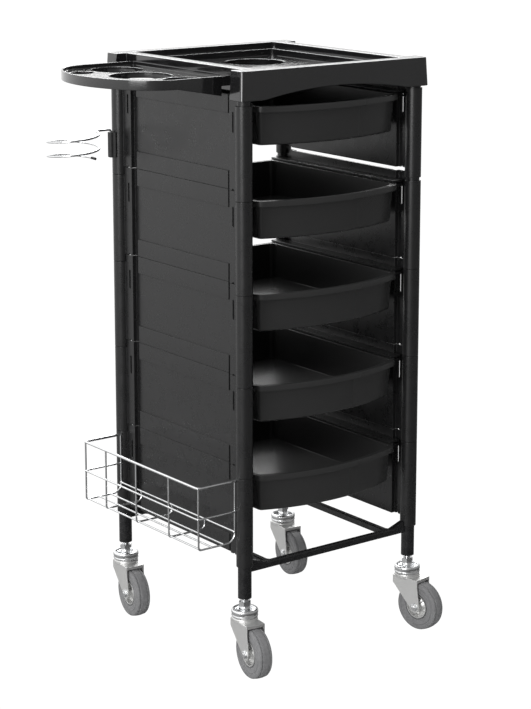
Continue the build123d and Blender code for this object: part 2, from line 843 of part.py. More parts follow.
def placed(piece, corner):
    """A castor piece set under a leg, turned to its resting direction."""
    x, y = corners[corner]
    with BuildPart() as copy:
        with Locations(Location((x, y, 0), (0, 0, castor_turn[corner]))):
            add(piece.part)
    return copy


# --- the whole trolley -----------------------------------------------------
pieces = {}
for corner, place in corners.items():
    pieces[f"leg_{corner}"] = leg(place)
pieces["leg_inserts"] = leg_inserts()
for level in range(module_count):
    lift = right_top_play if level == module_count - 1 else 0
    left = side_module(level)
    pieces[f"side_module_left_{level + 1}"] = left if level else basket_side(left)
    pieces[f"side_module_right_{level + 1}"] = mirrored(side_module(level, lift))
    pieces[f"tray_{level + 1}"] = sliding_tray(level)
pieces["base_bar_front"] = cross_bar(-1)
pieces["base_bar_back"] = cross_bar(1)
pieces["base_bar_left"] = long_bar(-1)
pieces["base_bar_right"] = long_bar(1)
pieces["top_frame"] = top_frame()
pieces["top_tray"] = top_tray()
pieces["side_shelf"] = side_shelf()
pieces["wire_basket"] = wire_basket()
pieces["dryer_clip"] = dryer_clip()
pieces["dryer_ring"] = dryer_ring()
pieces["castor_nuts"] = castor_nuts()
castor_pieces = {
    "tyre": castor_tyre(),
    "hub": castor_hub(),
    "axle": castor_axle(),
    "fork": castor_fork(),
    "balls": castor_balls(),
    "race": castor_race(),
    "stem": castor_stem(),
}
for corner in corners:
    for name, piece in castor_pieces.items():
        pieces[f"castor_{corner}_{name}"] = placed(piece, corner)

# The origin stands on the floor under the middle of the whole trolley.
boxes = [piece.part.bounding_box() for piece in pieces.values()]
home_x = -(min(box.min.X for box in boxes) + max(box.max.X for box in boxes)) / 2
home_y = -(min(box.min.Y for box in boxes) + max(box.max.Y for box in boxes)) / 2
home = Location((home_x, home_y, 0))

os.makedirs("parts", exist_ok=True)
for name, piece in pieces.items():
    piece.part.label = name
    export_step(piece.part.moved(home), f"parts/{name}.step")
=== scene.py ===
"""Looks of the rolling salon trolley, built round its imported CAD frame.

Lengths are in metres in the frame's own axes: X runs to the right along the front,
Y to the back and Z up from the floor. Sizes marked _mm are in millimetres.
"""
import json
import logging
import math
from dataclasses import dataclass, field
from enum import Enum
from typing import Callable, Dict, List, Optional, Sequence, Tuple, Union

import bmesh
import bpy
from mathutils import Matrix, Vector, noise

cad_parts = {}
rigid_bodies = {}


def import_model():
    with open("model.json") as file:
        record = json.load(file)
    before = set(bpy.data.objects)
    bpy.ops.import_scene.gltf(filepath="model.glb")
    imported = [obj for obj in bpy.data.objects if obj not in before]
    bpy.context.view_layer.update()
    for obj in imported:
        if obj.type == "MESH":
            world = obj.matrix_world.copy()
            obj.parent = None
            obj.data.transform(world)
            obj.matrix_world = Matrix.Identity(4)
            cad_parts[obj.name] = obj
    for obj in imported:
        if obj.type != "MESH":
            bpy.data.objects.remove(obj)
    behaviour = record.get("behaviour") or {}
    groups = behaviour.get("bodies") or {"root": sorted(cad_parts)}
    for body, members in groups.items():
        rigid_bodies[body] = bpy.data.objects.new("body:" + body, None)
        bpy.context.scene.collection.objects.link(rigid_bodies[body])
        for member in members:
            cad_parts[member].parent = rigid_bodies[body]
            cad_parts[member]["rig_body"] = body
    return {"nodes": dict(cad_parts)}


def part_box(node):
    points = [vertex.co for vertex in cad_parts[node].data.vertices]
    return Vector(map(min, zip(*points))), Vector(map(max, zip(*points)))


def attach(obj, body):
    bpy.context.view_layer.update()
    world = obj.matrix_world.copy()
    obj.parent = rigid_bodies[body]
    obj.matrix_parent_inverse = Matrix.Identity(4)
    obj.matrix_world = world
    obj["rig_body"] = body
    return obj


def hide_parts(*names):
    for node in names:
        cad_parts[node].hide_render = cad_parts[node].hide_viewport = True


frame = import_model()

log = logging.getLogger("trolley")

MM = 0.001
WELD = 2e-6
FLAT_ANGLE = math.radians(0.8)
BEVEL_ANGLE = math.radians(26)
SHARP_ANGLE = math.radians(52)
CASTOR_SHARP_ANGLE = math.radians(40)
STRAIGHT_ANGLE = math.pi - 0.02
BOX_SLACK = 1e-4
DOME_FACE = 0.55
DOME_DEPTH = 0.45
WELD_SWELL = 0.18
WELD_WAVES = 900
CORNERS = ("front_left", "front_right", "back_left", "back_right")
LEVELS = range(1, 6)

Colour = Tuple[float, float, float]
Section = List[Tuple[float, float]]


# --- shader building --------------------------------------------------------
class Sheet:
    """A node tree with short ways to add nodes and join them."""

    def __init__(self, tree: bpy.types.NodeTree) -> None:
        """Starts on an existing tree.

        Args:
            tree: the node tree of a material or a group.
        """
        self.tree = tree

    def add(self, kind: str, inputs: Optional[dict] = None, **settings: object) -> bpy.types.Node:
        """Adds a node.

        Args:
            kind: the node's type name without the ShaderNode prefix.
            inputs: socket name or number to a value or to the socket that feeds it.
            settings: the node's own properties.

        Returns:
            The new node.
        """
        node = self.tree.nodes.new("ShaderNode" + kind)
        for name, value in settings.items():
            setattr(node, name, value)
        for name, value in (inputs or {}).items():
            if isinstance(value, bpy.types.NodeSocket):
                self.tree.links.new(value, node.inputs[name])
            else:
                node.inputs[name].default_value = value
        return node

    def math(self, operation: str, *values: object) -> bpy.types.NodeSocket:
        """Adds a Math node on numbers or sockets and returns its result."""
        return self.add("Math", dict(enumerate(values)), operation=operation).outputs[0]

    def ramp(self, value: object, low: float, high: float, to_low: float, to_high: float) -> bpy.types.NodeSocket:
        """Maps a value from one range smoothly to another and returns the result."""
        feeds = {"Value": value, "From Min": low, "From Max": high, "To Min": to_low, "To Max": to_high}
        return self.add("MapRange", feeds, interpolation_type="SMOOTHSTEP").outputs[0]

    def mix(self, share: object, first: object, second: object) -> bpy.types.NodeSocket:
        """Mixes two colours by a share and returns the result."""
        node = self.add("Mix", {0: share}, data_type="RGBA")
        for socket, value in ((6, first), (7, second)):
            if isinstance(value, bpy.types.NodeSocket):
                self.tree.links.new(value, node.inputs[socket])
            else:
                node.inputs[socket].default_value = (*value, 1)
        return node.outputs[2]

    def noise(self, where: object, scale: float, detail: float = 2, rough: float = 0.5) -> bpy.types.NodeSocket:
        """Adds a noise texture and returns its value."""
        feeds = {"Vector": where, "Scale": scale, "Detail": detail, "Roughness": rough}
        return self.add("TexNoise", feeds).outputs[0]


class Effect(Enum):
    """The effects that several materials share, one node group each."""

    GRAIN = "moulded_grain"
    HANDLING = "handling_marks"
    EDGE_WEAR = "edge_wear"
    DUST = "settled_dust"
    PLATING = "plating_cloud"


def group_sheet(name: str, inputs: Dict[str, float], outputs: Sequence[str]) -> Tuple[Sheet, object, object]:
    """Starts an effect group with number sockets.

    Args:
        name: the group's name.
        inputs: input names with their usual values.
        outputs: output names.

    Returns:
        The group's sheet, its input node and its output node.
    """
    tree = bpy.data.node_groups.new(name, "ShaderNodeTree")
    for title, value in inputs.items():
        socket = tree.interface.new_socket(title, in_out="INPUT", socket_type="NodeSocketFloat")
        socket.default_value = value
    for title in outputs:
        tree.interface.new_socket(title, in_out="OUTPUT", socket_type="NodeSocketFloat")
    return Sheet(tree), tree.nodes.new("NodeGroupInput"), tree.nodes.new("NodeGroupOutput")


def scaled_place(sheet: Sheet, size: bpy.types.NodeSocket, stretch: Colour = (1, 1, 1)) -> bpy.types.NodeSocket:
    """The surface's own position divided by a size.

    Args:
        sheet: the sheet to add to.
        size: the socket that holds the size in metres.
        stretch: how much finer the position runs along each axis.

    Returns:
        The scaled position.
    """
    place = sheet.add("TexCoord").outputs["Object"]
    scaled = sheet.add("VectorMath", {0: place, "Scale": sheet.math("DIVIDE", 1.0, size)}, operation="SCALE")
    return sheet.add("VectorMath", {0: scaled.outputs[0], 1: stretch}, operation="MULTIPLY").outputs[0]


def moulded_grain() -> bpy.types.NodeTree:
    """Fine spark grain, slow ripples of the mould and a mottle, each from 0 to 1."""
    inputs = {"Grain Size": 0.0006, "Ripple Size": 0.05}
    sheet, start, end = group_sheet(Effect.GRAIN.value, inputs, ("Grain", "Ripple", "Mottle"))
    fine = scaled_place(sheet, start.outputs["Grain Size"])
    slow = scaled_place(sheet, start.outputs["Ripple Size"])
    sheet.tree.links.new(sheet.noise(fine, 1.0, 3, 0.6), end.inputs["Grain"])
    sheet.tree.links.new(sheet.noise(slow, 1.0, 1), end.inputs["Ripple"])
    sheet.tree.links.new(sheet.ramp(sheet.noise(slow, 2.7, 5, 0.65), 0.3, 0.7, 0.0, 1.0), end.inputs["Mottle"])
    return sheet.tree


def handling_marks() -> bpy.types.NodeTree:
    """Smudges and hairline scratches left by hands and tools, each from 0 to 1."""
    sheet, start, end = group_sheet(Effect.HANDLING.value, {"Size": 0.03}, ("Smudges", "Hairlines"))
    place = scaled_place(sheet, start.outputs["Size"])
    sheet.tree.links.new(sheet.ramp(sheet.noise(place, 1.0, 4, 0.7), 0.5, 0.72, 0.0, 1.0), end.inputs["Smudges"])
    lines = []
    for turn, stretch in ((0.5, (0.7, 60.0, 0.9)), (-0.9, (55.0, 0.8, 0.6)), (1.9, (1.1, 0.5, 70.0))):
        turned = sheet.add("VectorRotate", {"Vector": place, "Angle": turn, "Axis": (0.3, 0.5, 0.8)})
        drawn = sheet.add("VectorMath", {0: turned.outputs[0], 1: stretch}, operation="MULTIPLY")
        lines.append(sheet.ramp(sheet.noise(drawn.outputs[0], 1.0, 1), 0.72, 0.76, 0.0, 1.0))
    most = sheet.math("MAXIMUM", sheet.math("MAXIMUM", lines[0], lines[1]), lines[2])
    sheet.tree.links.new(most, end.inputs["Hairlines"])
    return sheet.tree


def edge_wear() -> bpy.types.NodeTree:
    """Where edges are rubbed, from 0 to 1."""
    sheet, start, end = group_sheet(Effect.EDGE_WEAR.value, {"Reach": 0.0008, "Patch Size": 0.012}, ("Wear",))
    rounded = sheet.add("Bevel", {"Radius": start.outputs["Reach"]}, samples=4).outputs[0]
    true = sheet.add("NewGeometry").outputs["True Normal"]
    along = sheet.add("VectorMath", {0: rounded, 1: true}, operation="DOT_PRODUCT").outputs["Value"]
    bent = sheet.ramp(along, 0.995, 0.9, 0.0, 1.0)
    cloud = sheet.noise(scaled_place(sheet, start.outputs["Patch Size"]), 1.0, 4, 0.7)
    patches = sheet.ramp(cloud, 0.42, 0.62, 0.0, 1.0)
    sheet.tree.links.new(sheet.math("MULTIPLY", bent, patches), end.inputs["Wear"])
    return sheet.tree


def settled_dust() -> bpy.types.NodeTree:
    """Thin dust on faces that look up, from 0 to 1."""
    sheet, start, end = group_sheet(Effect.DUST.value, {"Speck Size": 0.0012}, ("Dust",))
    up = sheet.add("SeparateXYZ", {0: sheet.add("NewGeometry").outputs["Normal"]}).outputs["Z"]
    lying = sheet.ramp(up, 0.6, 1.0, 0.0, 1.0)
    fine = sheet.noise(scaled_place(sheet, start.outputs["Speck Size"]), 1.0, 2, 0.7)
    specks = sheet.ramp(fine, 0.66, 0.78, 0.0, 1.0)
    film = sheet.noise(scaled_place(sheet, sheet.math("MULTIPLY", start.outputs["Speck Size"], 30.0)), 1.0, 3)
    dust = sheet.math("MULTIPLY", lying, sheet.math("MULTIPLY_ADD", film, 0.3, specks))
    sheet.tree.links.new(dust, end.inputs["Dust"])
    return sheet.tree


def plating_cloud() -> bpy.types.NodeTree:
    """Cloudy passivation, fine rolling lines and small pits of plated steel, each from 0 to 1."""
    sheet, start, end = group_sheet(Effect.PLATING.value, {"Cloud Size": 0.008}, ("Cloud", "Drawn", "Pits"))
    place = scaled_place(sheet, start.outputs["Cloud Size"])
    drawn = scaled_place(sheet, start.outputs["Cloud Size"], (38.0, 38.0, 0.8))
    sheet.tree.links.new(sheet.ramp(sheet.noise(place, 1.0, 5, 0.68), 0.32, 0.68, 0.0, 1.0), end.inputs["Cloud"])
    sheet.tree.links.new(sheet.noise(drawn, 1.0, 2), end.inputs["Drawn"])
    cells = sheet.add("TexVoronoi", {"Vector": place, "Scale": 9.0}).outputs["Distance"]
    sheet.tree.links.new(sheet.ramp(cells, 0.0, 0.16, 1.0, 0.0), end.inputs["Pits"])
    return sheet.tree


EFFECT_MAKERS: Dict[Effect, Callable[[], bpy.types.NodeTree]] = {
    Effect.GRAIN: moulded_grain,
    Effect.HANDLING: handling_marks,
    Effect.EDGE_WEAR: edge_wear,
    Effect.DUST: settled_dust,
    Effect.PLATING: plating_cloud,
}


def use_effect(sheet: Sheet, effect: Effect, **values: float) -> bpy.types.NodeOutputs:
    """Puts a shared effect into a material.

    Args:
        sheet: the material's sheet.
        effect: which effect.
        values: its input values, with underscores for spaces.

    Returns:
        The effect's outputs.
    """
    tree = bpy.data.node_groups.get(effect.value) or EFFECT_MAKERS[effect]()
    node = sheet.add("Group", node_tree=tree)
    for name, value in values.items():
        node.inputs[name.replace("_", " ").title()].default_value = value
    return node.outputs


# --- finishes ---------------------------------------------------------------
@dataclass(frozen=True)
class Finish:
    """What all finishes share: a name, two colours, a roughness range and relief."""

    name: str
    colour: Colour
    second: Colour
    rough: Tuple[float, float]
    ior: float = 1.5
    specular: float = 0.5
    coat: float = 0.0
    coat_rough: float = 0.05
    metallic: float = 0.0

    def material(self) -> bpy.types.Material:
        """The finish as a material, made once."""
        made = bpy.data.materials.get(self.name)
        if made is None:
            made = bpy.data.materials.new(self.name)
            made.use_nodes = True
            made.node_tree.nodes.clear()
            made.diffuse_color = (*self.colour, 1)
            sheet = Sheet(made.node_tree)
            constants = {
                "Metallic": self.metallic,
                "IOR": self.ior,
                "Specular IOR Level": self.specular,
                "Coat Weight": self.coat,
                "Coat Roughness": self.coat_rough,
            }
            shader = sheet.add("BsdfPrincipled", {**constants, **self.surface(sheet)})
            sheet.add("OutputMaterial", {"Surface": shader.outputs[0]})
        return made

    def surface(self, sheet: Sheet) -> dict:
        """The varying inputs of the shader; each kind of finish gives its own."""
        raise NotImplementedError

    def relief(self, sheet: Sheet, heights: Sequence[Tuple[object, float]]) -> bpy.types.NodeSocket:
        """Stacks bumps on one another.

        Args:
            sheet: the material's sheet.
            heights: pairs of a height from 0 to 1 and its depth in metres.

        Returns:
            The resulting normal.
        """
        normal = None
        for height, depth in heights:
            feeds = {"Height": height, "Distance": depth, "Strength": 1.0}
            if normal is not None:
                feeds["Normal"] = normal
            normal = sheet.add("Bump", feeds).outputs[0]
        return normal


@dataclass(frozen=True)
class MouldedPlastic(Finish):
    """Injection-moulded black plastic with grain, slow sink ripples and light use."""

    grain_size: float = 0.0006
    grain_depth: float = 2.5e-6
    ripple_size: float = 0.05
    ripple_depth: float = 1.2e-5
    wear: float = 0.16
    dust: float = 0.05

    def surface(self, sheet: Sheet) -> dict:
        """Colour, roughness and relief of the moulded skin."""
        grain = use_effect(sheet, Effect.GRAIN, grain_size=self.grain_size, ripple_size=self.ripple_size)
        marks = use_effect(sheet, Effect.HANDLING)
        worn = sheet.math("MULTIPLY", use_effect(sheet, Effect.EDGE_WEAR)["Wear"], self.wear)
        dust = sheet.math("MULTIPLY", use_effect(sheet, Effect.DUST)["Dust"], self.dust)
        skin = sheet.mix(grain["Mottle"], self.colour, self.second)
        rubbed = sheet.mix(worn, skin, tuple(0.02 + 1.5 * part for part in self.second))
        rough = sheet.ramp(grain["Mottle"], 0.0, 1.0, *self.rough)
        rough = sheet.math("MULTIPLY_ADD", marks["Smudges"], 0.05, rough)
        rough = sheet.math("MULTIPLY_ADD", dust, 0.4, rough)
        return {
            "Base Color": sheet.mix(dust, rubbed, (0.32, 0.31, 0.3)),
            "Roughness": sheet.math("MULTIPLY_ADD", worn, 0.12, rough),
            "Normal": self.relief(
                sheet,
                (
                    (grain["Ripple"], self.ripple_depth),
                    (grain["Grain"], self.grain_depth),
                    (sheet.math("SUBTRACT", 1.0, marks["Hairlines"]), 2e-6),
                ),
            ),
        }


@dataclass(frozen=True)
class PlatedMetal(Finish):
    """Chrome or zinc plate: cloudy, with rolling lines, pits and a rubbed edge."""

    metallic: float = 1.0
    cloud_size: float = 0.008
    drawn_depth: float = 1.5e-5
    pit_depth: float = 1e-5

    def surface(self, sheet: Sheet) -> dict:
        """Colour, roughness and relief of the plated skin."""
        plate = use_effect(sheet, Effect.PLATING, cloud_size=self.cloud_size)
        marks = use_effect(sheet, Effect.HANDLING, size=0.012)
        worn = use_effect(sheet, Effect.EDGE_WEAR, reach=0.0005, patch_size=0.004)["Wear"]
        tint = sheet.mix(plate["Cloud"], self.colour, self.second)
        rough = sheet.ramp(plate["Cloud"], 0.0, 1.0, *self.rough)
        rough = sheet.math("MULTIPLY_ADD", marks["Smudges"], 0.08, rough)
        pits = sheet.math("SUBTRACT", 1.0, plate["Pits"])
        return {
            "Base Color": sheet.mix(sheet.math("MULTIPLY", worn, 0.5), tint, (0.86, 0.87, 0.88)),
            "Roughness": sheet.math("MULTIPLY_ADD", plate["Drawn"], 0.04, rough),
            "Normal": self.relief(sheet, ((plate["Drawn"], self.drawn_depth), (pits, self.pit_depth))),
        }


@dataclass(frozen=True)
class PaintedSteel(Finish):
    """Black powder paint on tube: orange peel, a mottle, hairlines and rubbed edges."""

    peel_size: float = 0.0022
    peel_depth: float = 1.6e-5

    def surface(self, sheet: Sheet) -> dict:
        """Colour, roughness and relief of the paint."""
        grain = use_effect(sheet, Effect.GRAIN, grain_size=self.peel_size, ripple_size=0.02)
        marks = use_effect(sheet, Effect.HANDLING)
        worn = sheet.math("MULTIPLY", use_effect(sheet, Effect.EDGE_WEAR)["Wear"], 0.4)
        skin = sheet.mix(grain["Mottle"], self.colour, self.second)
        rough = sheet.ramp(grain["Mottle"], 0.0, 1.0, *self.rough)
        return {
            "Base Color": sheet.mix(worn, skin, (0.1, 0.1, 0.105)),
            "Roughness": sheet.math("MULTIPLY_ADD", marks["Smudges"], 0.06, rough),
            "Normal": self.relief(sheet, ((grain["Grain"], self.peel_depth), (marks["Hairlines"], 2e-6))),
        }


@dataclass(frozen=True)
class Rubber(Finish):
    """Grey wheel rubber: matt, a little mottled, with scuffs on its tread."""

    def surface(self, sheet: Sheet) -> dict:
        """Colour, roughness and relief of the rubber."""
        grain = use_effect(sheet, Effect.GRAIN, grain_size=0.0004, ripple_size=0.015)
        marks = use_effect(sheet, Effect.HANDLING, size=0.01)
        worn = use_effect(sheet, Effect.EDGE_WEAR, reach=0.0012, patch_size=0.006)["Wear"]
        skin = sheet.mix(grain["Mottle"], self.colour, self.second)
        scuff = tuple(0.7 * part for part in self.colour)
        pale = tuple(1.35 * part for part in self.second)
        scuffed = sheet.mix(sheet.math("MULTIPLY", marks["Smudges"], 0.35), skin, scuff)
        heights = ((grain["Ripple"], 3e-5), (grain["Grain"], 2.2e-5), (marks["Hairlines"], 1e-5))
        return {
            "Base Color": sheet.mix(sheet.math("MULTIPLY", worn, 0.3), scuffed, pale),
            "Roughness": sheet.ramp(grain["Mottle"], 0.0, 1.0, *self.rough),
            "Normal": self.relief(sheet, heights),
        }


PANEL_PLASTIC = MouldedPlastic("panel_plastic", (0.0075, 0.0075, 0.0078), (0.0085, 0.0085, 0.0088), (0.26, 0.31))
TRAY_PLASTIC = MouldedPlastic(
    "tray_plastic", (0.0065, 0.0065, 0.0068), (0.0075, 0.0075, 0.0078), (0.15, 0.2), grain_depth=1.5e-6
)
TOP_PLASTIC = MouldedPlastic(
    "top_plastic", (0.006, 0.006, 0.0063), (0.007, 0.007, 0.0073), (0.1, 0.14), coat=0.6, grain_depth=1e-6, dust=0.03
)
CLIP_PLASTIC = MouldedPlastic("clip_plastic", (0.007, 0.007, 0.007), (0.01, 0.01, 0.01), (0.35, 0.45))
TUBE_PAINT = PaintedSteel("tube_paint", (0.006, 0.006, 0.0065), (0.009, 0.009, 0.0095), (0.2, 0.3))
INSERT_PLASTIC = MouldedPlastic("insert_plastic", (0.012, 0.012, 0.012), (0.018, 0.018, 0.018), (0.45, 0.6))
WIRE_CHROME = PlatedMetal(
    "wire_chrome", (0.9, 0.905, 0.91), (0.8, 0.81, 0.82), (0.1, 0.18), drawn_depth=4e-6, pit_depth=3e-6
)
ZINC_PLATE = PlatedMetal("zinc_plate", (0.93, 0.935, 0.94), (0.76, 0.765, 0.775), (0.2, 0.34))
BRIGHT_ZINC = PlatedMetal("bright_zinc", (0.94, 0.945, 0.95), (0.8, 0.81, 0.82), (0.12, 0.24), cloud_size=0.005)
BALL_STEEL = PlatedMetal("ball_steel", (0.55, 0.55, 0.57), (0.45, 0.45, 0.47), (0.08, 0.16), pit_depth=1e-6)
GREY_RUBBER = Rubber("grey_rubber", (0.125, 0.125, 0.128), (0.15, 0.15, 0.153), (0.5, 0.64), specular=0.35)
VINYL_TIP = MouldedPlastic("vinyl_tip", (0.01, 0.01, 0.01), (0.014, 0.014, 0.014), (0.4, 0.5))


# --- mesh building ----------------------------------------------------------
def lathe(section: Callable[[float], Section], steps: int, closed: bool = True) -> bmesh.types.BMesh:
    """Turns a section round the Z axis, with a section that may change on the way.

    Args:
        section: gives the (radius, height) points in millimetres at an angle in radians.
        steps: how many columns go round.
        closed: whether the section's last point joins its first.

    Returns:
        The turned mesh, in metres.
    """
    bm = bmesh.new()
    columns = []
    for index in range(steps):
        angle = math.tau * index / steps
        way = Vector((math.cos(angle), math.sin(angle), 0))
        points = [(way * radius + Vector((0, 0, height))) * MM for radius, height in section(angle)]
        columns.append([bm.verts.new(point) for point in points])
    rows = len(columns[0])
    for index in range(steps):
        here, there = columns[index], columns[(index + 1) % steps]
        for row in range(rows if closed else rows - 1):
            after = (row + 1) % rows
            bm.faces.new((here[row], there[row], there[after], here[after]))
    bmesh.ops.remove_doubles(bm, verts=bm.verts[:], dist=WELD)
    bmesh.ops.recalc_face_normals(bm, faces=bm.faces[:])
    return bm


def rounded_path(
    points: Sequence[Sequence[float]], bend: Union[float, Sequence[float]], steps: int = 6, closed: bool = False
) -> List[Vector]:
    """Rounds the corners of a run of points.

    Args:
        points: the corner points.
        bend: the radius of every corner, or one radius for each point; a short run gets less.
        steps: how many pieces each corner gets.
        closed: whether the run goes back to its first point.

    Returns:
        The points of the rounded run.
    """
    corners = [Vector(point) for point in points]
    count = len(corners)
    radii = list(bend) if isinstance(bend, Sequence) else [bend] * count
    made: List[Vector] = []
    for index, corner in enumerate(corners):
        if not closed and index in (0, count - 1):
            made.append(corner)
            continue
        back, on = corners[index - 1] - corner, corners[(index + 1) % count] - corner
        turn = back.angle(on, math.pi)
        if radii[index] <= 0 or turn > STRAIGHT_ANGLE:
            made.append(corner)
            continue
        cut = min(radii[index] / math.tan(turn / 2), 0.48 * back.length, 0.48 * on.length)
        bow = cut * math.tan(turn / 2)
        bisector = (back.normalized() + on.normalized()).normalized()
        centre = corner + bisector * (bow / math.sin(turn / 2))
        first, last = corner + back.normalized() * cut - centre, corner + on.normalized() * cut - centre
        for step in range(steps + 1):
            made.append(centre + first.normalized().slerp(last.normalized(), step / steps) * bow)
    return made


def ring_section(points: Section, radius: float, steps: int = 4) -> Section:
    """A closed lathe section with its corners rounded."""
    flat = [(r, h, 0.0) for r, h in points]
    return [(p.x, p.y) for p in rounded_path(flat, radius, steps, closed=True)]


def sweep(bm: bmesh.types.BMesh, points: Sequence[Vector], radius: float, sides: int = 12) -> None:
    """Adds a round wire with domed ends along a run of points.

    Args:
        bm: the mesh to add to.
        points: the wire's centre line.
        radius: the wire's radius.
        sides: how many sides the wire has.
    """
    line = [Vector(point) for point in points]
    tangents = []
    for index in range(len(line)):
        ahead, behind = line[min(index + 1, len(line) - 1)], line[max(index - 1, 0)]
        tangents.append((ahead - behind).normalized())
    side = tangents[0].orthogonal().normalized()
    stations = [(line[0], tangents[0], DOME_FACE)]
    for index, (place, tangent) in enumerate(zip(line, tangents)):
        inset = DOME_DEPTH * radius * ((index == 0) - (index == len(line) - 1))
        stations.append((place + tangent * inset, tangent, 1.0))
    stations.append((line[-1], tangents[-1], DOME_FACE))
    rings = []
    for place, tangent, share in stations:
        side = (side - tangent * side.dot(tangent)).normalized()
        other = tangent.cross(side)
        ring = []
        for step in range(sides):
            angle = math.tau * step / sides
            out = side * math.cos(angle) + other * math.sin(angle)
            ring.append(bm.verts.new(place + out * radius * share))
        rings.append(ring)
    for here, there in zip(rings, rings[1:]):
        for step in range(sides):
            after = (step + 1) % sides
            bm.faces.new((here[step], here[after], there[after], there[step]))
    bm.faces.new(list(reversed(rings[0])))
    bm.faces.new(rings[-1])


def joined(parts: Sequence[bmesh.types.BMesh]) -> bmesh.types.BMesh:
    """One mesh made of several, which are used up."""
    whole = bmesh.new()
    for part in parts:
        mesh = bpy.data.meshes.new("joined_part")
        part.to_mesh(mesh)
        whole.from_mesh(mesh)
        bpy.data.meshes.remove(mesh)
        part.free()
    return whole


def softened_copy(node: str, width: float, segments: int = 2) -> bmesh.types.BMesh:
    """A new mesh of a hard node's shape, with its edges rounded as a mould or press rounds them.

    Args:
        node: the CAD node whose shape is followed.
        width: the edge rounding in metres.
        segments: how many faces each rounded edge gets.

    Returns:
        The softened mesh, which stays in the node's own box.
    """
    low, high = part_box(node)
    bm = bmesh.new()
    bm.from_mesh(frame["nodes"][node].data)
    bmesh.ops.remove_doubles(bm, verts=bm.verts[:], dist=WELD)
    bmesh.ops.dissolve_limit(bm, angle_limit=FLAT_ANGLE, verts=bm.verts[:], edges=bm.edges[:])
    edges = [edge for edge in bm.edges if edge.is_manifold and edge.calc_face_angle(0.0) > BEVEL_ANGLE]
    bmesh.ops.bevel(bm, geom=edges, offset=width, offset_type="OFFSET", segments=segments, profile=0.5, affect="EDGES")
    most = 0.0
    for vert in bm.verts:
        kept = Vector([min(max(vert.co[axis], low[axis]), high[axis]) for axis in range(3)])
        most = max(most, (kept - vert.co).length)
        vert.co = kept
    if most > BOX_SLACK:
        log.info("%s: its rounding was pressed back by %.2f mm", node, most / MM)
    return bm


# --- sub-assemblies ---------------------------------------------------------
class SubAssembly:
    """What every sub-assembly shares: making pieces and hanging them on their bodies."""

    def piece(
        self,
        bm: bmesh.types.BMesh,
        name: str,
        nodes: Sequence[str],
        finish: Finish,
        slot: str,
        place: Matrix = Matrix.Identity(4),
        sharp: float = SHARP_ANGLE,
    ) -> bpy.types.Object:
        """Turns a mesh into a piece that rides on its node's body and stands for its nodes.

        Args:
            bm: the mesh, which is used up.
            name: the piece's name.
            nodes: the CAD nodes it stands for; the first one gives the body.
            finish: what it looks like.
            slot: the record's material slot; not used.
            place: where the mesh goes.
            sharp: the angle above which an edge stays crisp.

        Returns:
            The new object.
        """
        bm.transform(place)
        mesh = bpy.data.meshes.new(name)
        bm.to_mesh(mesh)
        bm.free()
        mesh.polygons.foreach_set("use_smooth", [True] * len(mesh.polygons))
        mesh.set_sharp_from_angle(angle=sharp)
        mesh.materials.append(finish.material())
        made = bpy.data.objects.new(name, mesh)
        bpy.context.scene.collection.objects.link(made)
        weigh = made.modifiers.new("even_shading", "WEIGHTED_NORMAL")
        weigh.keep_sharp = True
        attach(made, frame["nodes"][nodes[0]]["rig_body"])
        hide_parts(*nodes)
        log.info("%s: %d faces, %s", name, len(mesh.polygons), finish.name)
        return made

    def dress(self, node: str, finish: Finish, slot: str) -> None:
        """Gives a CAD node that stays as it is a better material."""
        kept = frame["nodes"][node]
        kept.data.materials.clear()
        kept.data.materials.append(finish.material())
        log.info("%s: kept from the frame, %s", node, finish.name)

    def soften(self, node: str, finish: Finish, slot: str, width: float) -> bpy.types.Object:
        """Makes a softened piece of one hard node."""
        return self.piece(softened_copy(node, width), f"{node}_moulded", [node], finish, slot)

    def build(self) -> None:
        """Builds every piece; each sub-assembly has its own."""
        raise NotImplementedError


@dataclass
class Chassis(SubAssembly):
    """The painted tubes and bars, and the plugs in the tubes' feet."""

    tube_edge: float = 0.0004
    bar_edge: float = 0.0006

    def build(self) -> None:
        """Builds legs, bars and plugs."""
        for corner in CORNERS:
            self.soften(f"leg_{corner}", TUBE_PAINT, "black_steel", self.tube_edge)
        for side in ("front", "back", "left", "right"):
            self.soften(f"base_bar_{side}", TUBE_PAINT, "black_steel", self.bar_edge)
        self.dress("leg_inserts", INSERT_PLASTIC, "black_insert")


@dataclass
class SideWalls(SubAssembly):
    """The ten moulded side modules."""

    edge: float = 0.0005

    def build(self) -> None:
        """Builds both stacks of modules."""
        for side in ("left", "right"):
            for level in LEVELS:
                self.soften(f"side_module_{side}_{level}", PANEL_PLASTIC, "module_plastic", self.edge)


@dataclass
class Trays(SubAssembly):
    """The five bow-fronted sliding trays."""

    edge: float = 0.0006

    def build(self) -> None:
        """Builds the trays from the lowest up."""
        for level in LEVELS:
            self.soften(f"tray_{level}", TRAY_PLASTIC, "tray_plastic", self.edge)


@dataclass
class TopDeck(SubAssembly):
    """The moulded top, its lift-out tray and the side shelf."""

    frame_edge: float = 0.0011
    tray_edge: float = 0.0008
    shelf_edge: float = 0.0007

    def build(self) -> None:
        """Builds the three top mouldings."""
        self.soften("top_frame", TOP_PLASTIC, "gloss_top_plastic", self.frame_edge)
        self.soften("top_tray", TOP_PLASTIC, "gloss_top_plastic", self.tray_edge)
        self.soften("side_shelf", TOP_PLASTIC, "gloss_top_plastic", self.shelf_edge)


